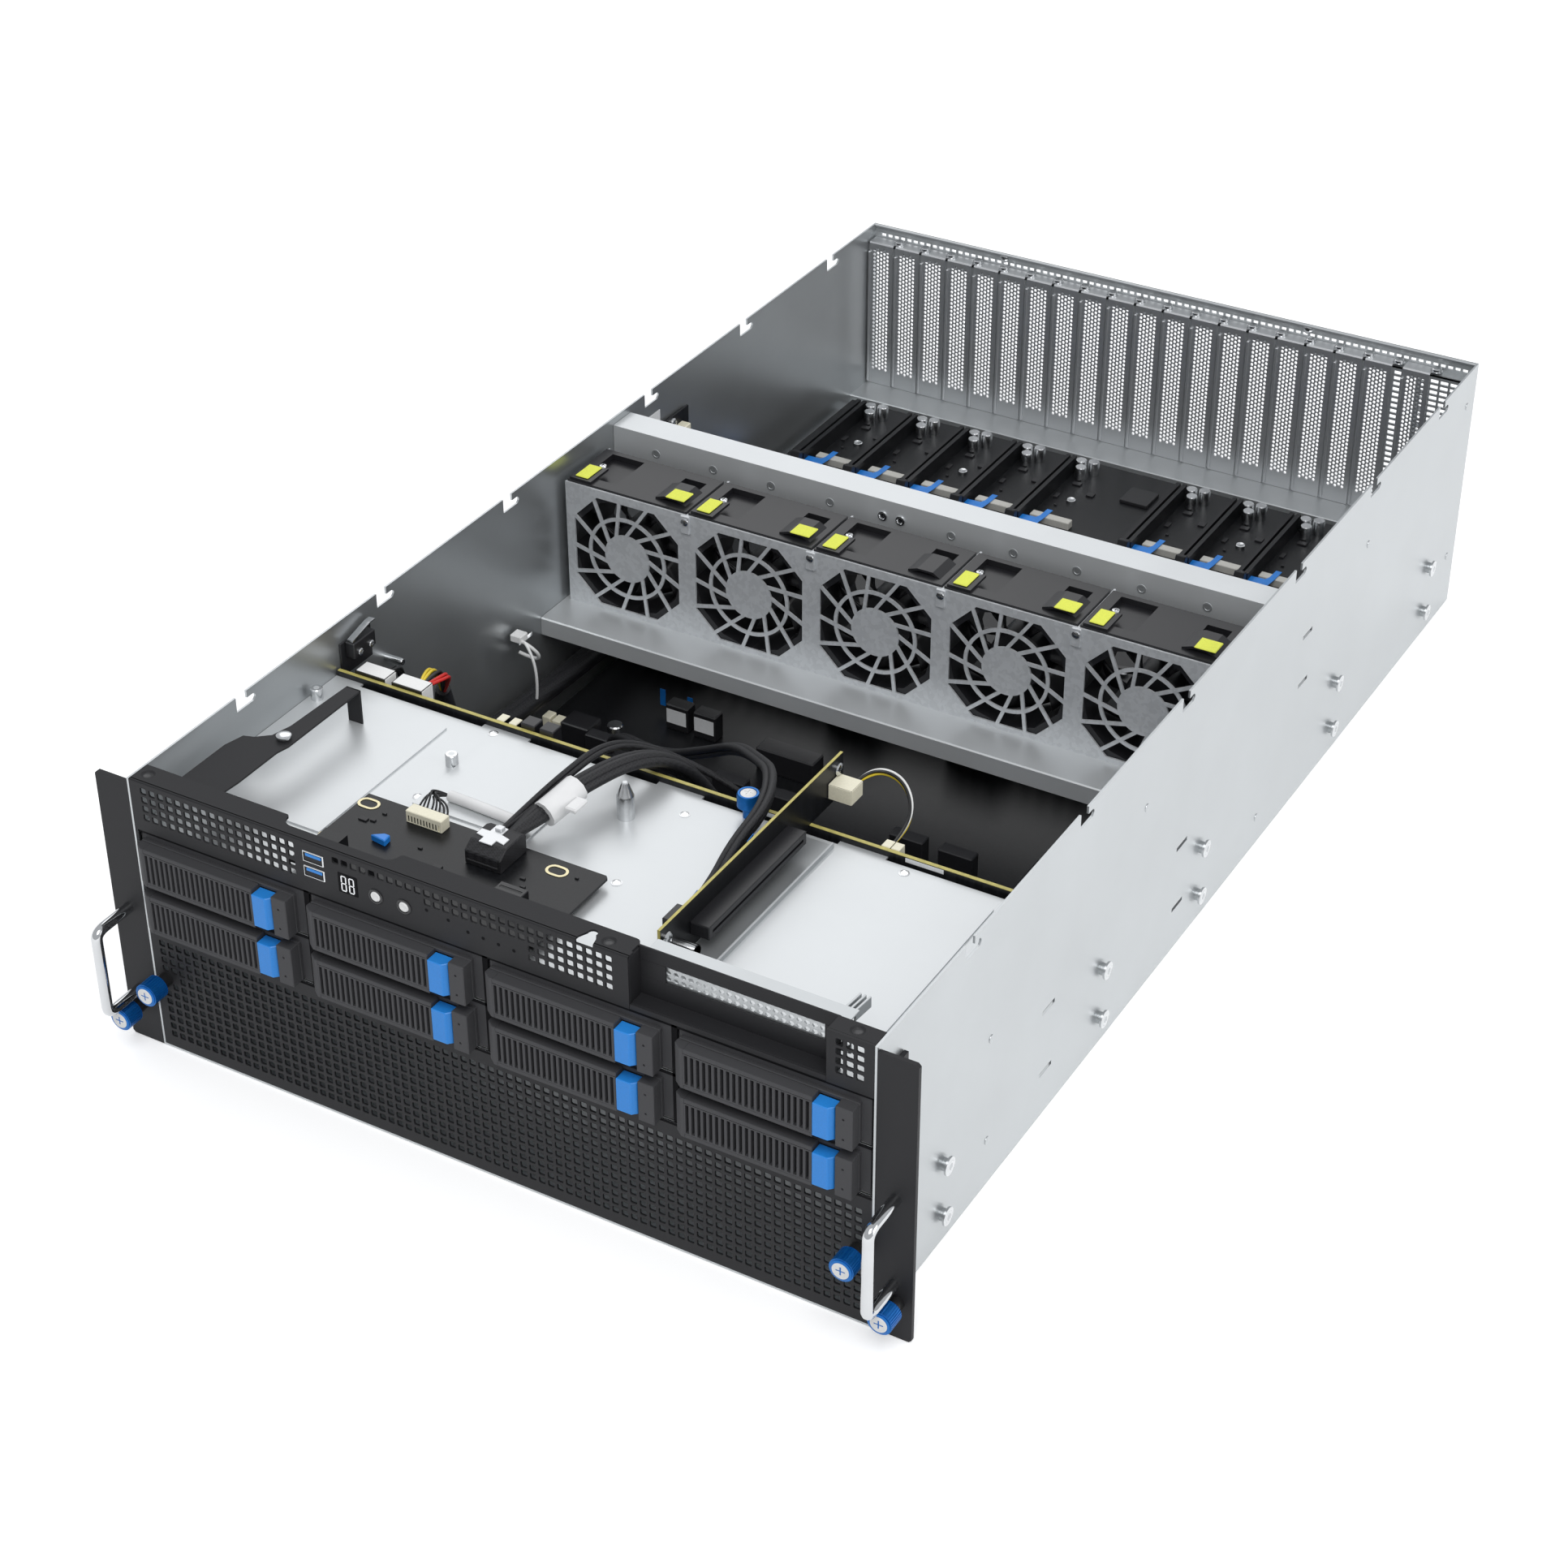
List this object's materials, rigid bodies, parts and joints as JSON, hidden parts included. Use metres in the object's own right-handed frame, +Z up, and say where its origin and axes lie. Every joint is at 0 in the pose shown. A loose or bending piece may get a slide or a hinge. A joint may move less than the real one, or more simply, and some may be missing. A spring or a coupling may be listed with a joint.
{
  "type": "rack server",
  "caption": "Open four-unit rack server with slatted drive trays, a finger-guarded fan wall and a bay for graphics cards.",
  "frame": {"origin": "centre of the chassis footprint on its underside, without the ears and handles", "axes": "+Z up, +Y to the rear, +X to the right as seen from the front"},
  "size_m": [0.4826, 0.8485, 0.1745],
  "materials": {
    "galvanised": "zinc coated sheet",
    "deck_steel": "bright zinc coated sheet",
    "cover_steel": "bright sheet",
    "spring_steel": "satin",
    "dark_paint": "fine textured dark paint",
    "circuit_board": "black solder mask",
    "black_plastic": "moulded",
    "white_plastic": "moulded",
    "blue_plastic": "moulded",
    "cable_jacket": "matt jacket",
    "chrome": "polished",
    "tray_plastic": "moulded front on a steel carrier",
    "supply_case": "zinc coated case"
  },
  "bodies": {
    "chassis": {"chassis_pan": "galvanised", "rear_panel": "galvanised", "slot_covers": "cover_steel", "front_grille": "dark_paint", "front_io_panel": "dark_paint", "drive_cage": "deck_steel", "drive_backplane": "circuit_board", "front_io_board": "circuit_board", "riser_card": "circuit_board", "riser_bay": "galvanised", "fan_wall": "galvanised", "cross_beam": "galvanised", "gpu_board": "circuit_board", "motherboard": "circuit_board", "rack_ears": "dark_paint", "ear_handles": "chrome", "thumbscrews": "blue_plastic", "cover_switch": "black_plastic", "cables": "cable_jacket"},
    "tray_1": {"tray_1": "tray_plastic"},
    "lever_1": {"tray_lever_1": "tray_plastic"},
    "latch_1": {"tray_latch_1": "blue_plastic"},
    "tray_2": {"tray_2": "tray_plastic"},
    "lever_2": {"tray_lever_2": "tray_plastic"},
    "latch_2": {"tray_latch_2": "blue_plastic"},
    "tray_3": {"tray_3": "tray_plastic"},
    "lever_3": {"tray_lever_3": "tray_plastic"},
    "latch_3": {"tray_latch_3": "blue_plastic"},
    "tray_4": {"tray_4": "tray_plastic"},
    "lever_4": {"tray_lever_4": "tray_plastic"},
    "latch_4": {"tray_latch_4": "blue_plastic"},
    "tray_5": {"tray_5": "tray_plastic"},
    "lever_5": {"tray_lever_5": "tray_plastic"},
    "latch_5": {"tray_latch_5": "blue_plastic"},
    "tray_6": {"tray_6": "tray_plastic"},
    "lever_6": {"tray_lever_6": "tray_plastic"},
    "latch_6": {"tray_latch_6": "blue_plastic"},
    "tray_7": {"tray_7": "tray_plastic"},
    "lever_7": {"tray_lever_7": "tray_plastic"},
    "latch_7": {"tray_latch_7": "blue_plastic"},
    "tray_8": {"tray_8": "tray_plastic"},
    "lever_8": {"tray_lever_8": "tray_plastic"},
    "latch_8": {"tray_latch_8": "blue_plastic"},
    "fan_module_1": {"fan_module_1": "black_plastic"},
    "rotor_1": {"fan_rotor_1": "black_plastic"},
    "fan_module_2": {"fan_module_2": "black_plastic"},
    "rotor_2": {"fan_rotor_2": "black_plastic"},
    "fan_module_3": {"fan_module_3": "black_plastic"},
    "rotor_3": {"fan_rotor_3": "black_plastic"},
    "fan_module_4": {"fan_module_4": "black_plastic"},
    "rotor_4": {"fan_rotor_4": "black_plastic"},
    "fan_module_5": {"fan_module_5": "black_plastic"},
    "rotor_5": {"fan_rotor_5": "black_plastic"},
    "supply_1": {"power_supply_1": "supply_case"},
    "supply_2": {"power_supply_2": "supply_case"},
    "supply_3": {"power_supply_3": "supply_case"},
    "supply_4": {"power_supply_4": "supply_case"},
    "power_button": {"power_button": "white_plastic"},
    "locate_button": {"locate_button": "white_plastic"},
    "switch_lever": {"switch_lever": "spring_steel"}
  },
  "joints": [
    {"name": "tray_slide_1", "type": "slide", "parent": "chassis", "child": "tray_1", "axis": [0, -1, 0], "range_m": [0, 0.14]},
    {"name": "lever_hinge_1", "type": "hinge", "parent": "tray_1", "child": "lever_1", "pos_m": [-0.21535, -0.4003, 0.1], "axis": [0, 0, -1], "range_deg": [0, 50]},
    {"name": "latch_press_1", "type": "slide", "parent": "tray_1", "child": "latch_1", "axis": [0, 1, 0], "range_m": [0, 0.0015], "stiffness_N_per_m": 600, "springref_m": -0.001},
    {"name": "tray_slide_2", "type": "slide", "parent": "chassis", "child": "tray_2", "axis": [0, -1, 0], "range_m": [0, 0.14]},
    {"name": "lever_hinge_2", "type": "hinge", "parent": "tray_2", "child": "lever_2", "pos_m": [-0.10608, -0.4003, 0.1], "axis": [0, 0, -1], "range_deg": [0, 50]},
    {"name": "latch_press_2", "type": "slide", "parent": "tray_2", "child": "latch_2", "axis": [0, 1, 0], "range_m": [0, 0.0015], "stiffness_N_per_m": 600, "springref_m": -0.001},
    {"name": "tray_slide_3", "type": "slide", "parent": "chassis", "child": "tray_3", "axis": [0, -1, 0], "range_m": [0, 0.14]},
    {"name": "lever_hinge_3", "type": "hinge", "parent": "tray_3", "child": "lever_3", "pos_m": [0.0032, -0.4003, 0.1], "axis": [0, 0, -1], "range_deg": [0, 50]},
    {"name": "latch_press_3", "type": "slide", "parent": "tray_3", "child": "latch_3", "axis": [0, 1, 0], "range_m": [0, 0.0015], "stiffness_N_per_m": 600, "springref_m": -0.001},
    {"name": "tray_slide_4", "type": "slide", "parent": "chassis", "child": "tray_4", "axis": [0, -1, 0], "range_m": [0, 0.14]},
    {"name": "lever_hinge_4", "type": "hinge", "parent": "tray_4", "child": "lever_4", "pos_m": [0.11248, -0.4003, 0.1], "axis": [0, 0, -1], "range_deg": [0, 50]},
    {"name": "latch_press_4", "type": "slide", "parent": "tray_4", "child": "latch_4", "axis": [0, 1, 0], "range_m": [0, 0.0015], "stiffness_N_per_m": 600, "springref_m": -0.001},
    {"name": "tray_slide_5", "type": "slide", "parent": "chassis", "child": "tray_5", "axis": [0, -1, 0], "range_m": [0, 0.14]},
    {"name": "lever_hinge_5", "type": "hinge", "parent": "tray_5", "child": "lever_5", "pos_m": [-0.21535, -0.4003, 0.1], "axis": [0, 0, -1], "range_deg": [0, 50]},
    {"name": "latch_press_5", "type": "slide", "parent": "tray_5", "child": "latch_5", "axis": [0, 1, 0], "range_m": [0, 0.0015], "stiffness_N_per_m": 600, "springref_m": -0.001},
    {"name": "tray_slide_6", "type": "slide", "parent": "chassis", "child": "tray_6", "axis": [0, -1, 0], "range_m": [0, 0.14]},
    {"name": "lever_hinge_6", "type": "hinge", "parent": "tray_6", "child": "lever_6", "pos_m": [-0.10608, -0.4003, 0.1], "axis": [0, 0, -1], "range_deg": [0, 50]},
    {"name": "latch_press_6", "type": "slide", "parent": "tray_6", "child": "latch_6", "axis": [0, 1, 0], "range_m": [0, 0.0015], "stiffness_N_per_m": 600, "springref_m": -0.001},
    {"name": "tray_slide_7", "type": "slide", "parent": "chassis", "child": "tray_7", "axis": [0, -1, 0], "range_m": [0, 0.14]},
    {"name": "lever_hinge_7", "type": "hinge", "parent": "tray_7", "child": "lever_7", "pos_m": [0.0032, -0.4003, 0.1], "axis": [0, 0, -1], "range_deg": [0, 50]},
    {"name": "latch_press_7", "type": "slide", "parent": "tray_7", "child": "latch_7", "axis": [0, 1, 0], "range_m": [0, 0.0015], "stiffness_N_per_m": 600, "springref_m": -0.001},
    {"name": "tray_slide_8", "type": "slide", "parent": "chassis", "child": "tray_8", "axis": [0, -1, 0], "range_m": [0, 0.14]},
    {"name": "lever_hinge_8", "type": "hinge", "parent": "tray_8", "child": "lever_8", "pos_m": [0.11248, -0.4003, 0.1], "axis": [0, 0, -1], "range_deg": [0, 50]},
    {"name": "latch_press_8", "type": "slide", "parent": "tray_8", "child": "latch_8", "axis": [0, 1, 0], "range_m": [0, 0.0015], "stiffness_N_per_m": 600, "springref_m": -0.001},
    {"name": "fan_lift_1", "type": "slide", "parent": "chassis", "child": "fan_module_1", "axis": [0, 0, 1], "range_m": [0, 0.085]},
    {"name": "rotor_spin_1", "type": "hinge", "parent": "fan_module_1", "child": "rotor_1", "pos_m": [-0.172, 0.025, 0.1175], "axis": [0, 1, 0], "continuous": true},
    {"name": "fan_lift_2", "type": "slide", "parent": "chassis", "child": "fan_module_2", "axis": [0, 0, 1], "range_m": [0, 0.085]},
    {"name": "rotor_spin_2", "type": "hinge", "parent": "fan_module_2", "child": "rotor_2", "pos_m": [-0.086, 0.025, 0.1175], "axis": [0, 1, 0], "continuous": true},
    {"name": "fan_lift_3", "type": "slide", "parent": "chassis", "child": "fan_module_3", "axis": [0, 0, 1], "range_m": [0, 0.085]},
    {"name": "rotor_spin_3", "type": "hinge", "parent": "fan_module_3", "child": "rotor_3", "pos_m": [0, 0.025, 0.1175], "axis": [0, 1, 0], "continuous": true},
    {"name": "fan_lift_4", "type": "slide", "parent": "chassis", "child": "fan_module_4", "axis": [0, 0, 1], "range_m": [0, 0.085]},
    {"name": "rotor_spin_4", "type": "hinge", "parent": "fan_module_4", "child": "rotor_4", "pos_m": [0.086, 0.025, 0.1175], "axis": [0, 1, 0], "continuous": true},
    {"name": "fan_lift_5", "type": "slide", "parent": "chassis", "child": "fan_module_5", "axis": [0, 0, 1], "range_m": [0, 0.085]},
    {"name": "rotor_spin_5", "type": "hinge", "parent": "fan_module_5", "child": "rotor_5", "pos_m": [0.172, 0.025, 0.1175], "axis": [0, 1, 0], "continuous": true},
    {"name": "supply_slide_1", "type": "slide", "parent": "chassis", "child": "supply_1", "axis": [0, 1, 0], "range_m": [0, 0.15]},
    {"name": "supply_slide_2", "type": "slide", "parent": "chassis", "child": "supply_2", "axis": [0, 1, 0], "range_m": [0, 0.15]},
    {"name": "supply_slide_3", "type": "slide", "parent": "chassis", "child": "supply_3", "axis": [0, 1, 0], "range_m": [0, 0.15]},
    {"name": "supply_slide_4", "type": "slide", "parent": "chassis", "child": "supply_4", "axis": [0, 1, 0], "range_m": [0, 0.15]},
    {"name": "power_button_press", "type": "slide", "parent": "chassis", "child": "power_button", "axis": [0, 1, 0], "range_m": [0, 0.0015], "stiffness_N_per_m": 600, "springref_m": -0.001},
    {"name": "locate_button_press", "type": "slide", "parent": "chassis", "child": "locate_button", "axis": [0, 1, 0], "range_m": [0, 0.0015], "stiffness_N_per_m": 600, "springref_m": -0.001},
    {"name": "switch_lever_press", "type": "hinge", "parent": "chassis", "child": "switch_lever", "pos_m": [-0.214, -0.218, 0.1613], "axis": [-1, 0, 0], "range_deg": [0, 8], "stiffness_Nm_per_rad": 0.02, "springref_deg": -2.86}
  ]
}
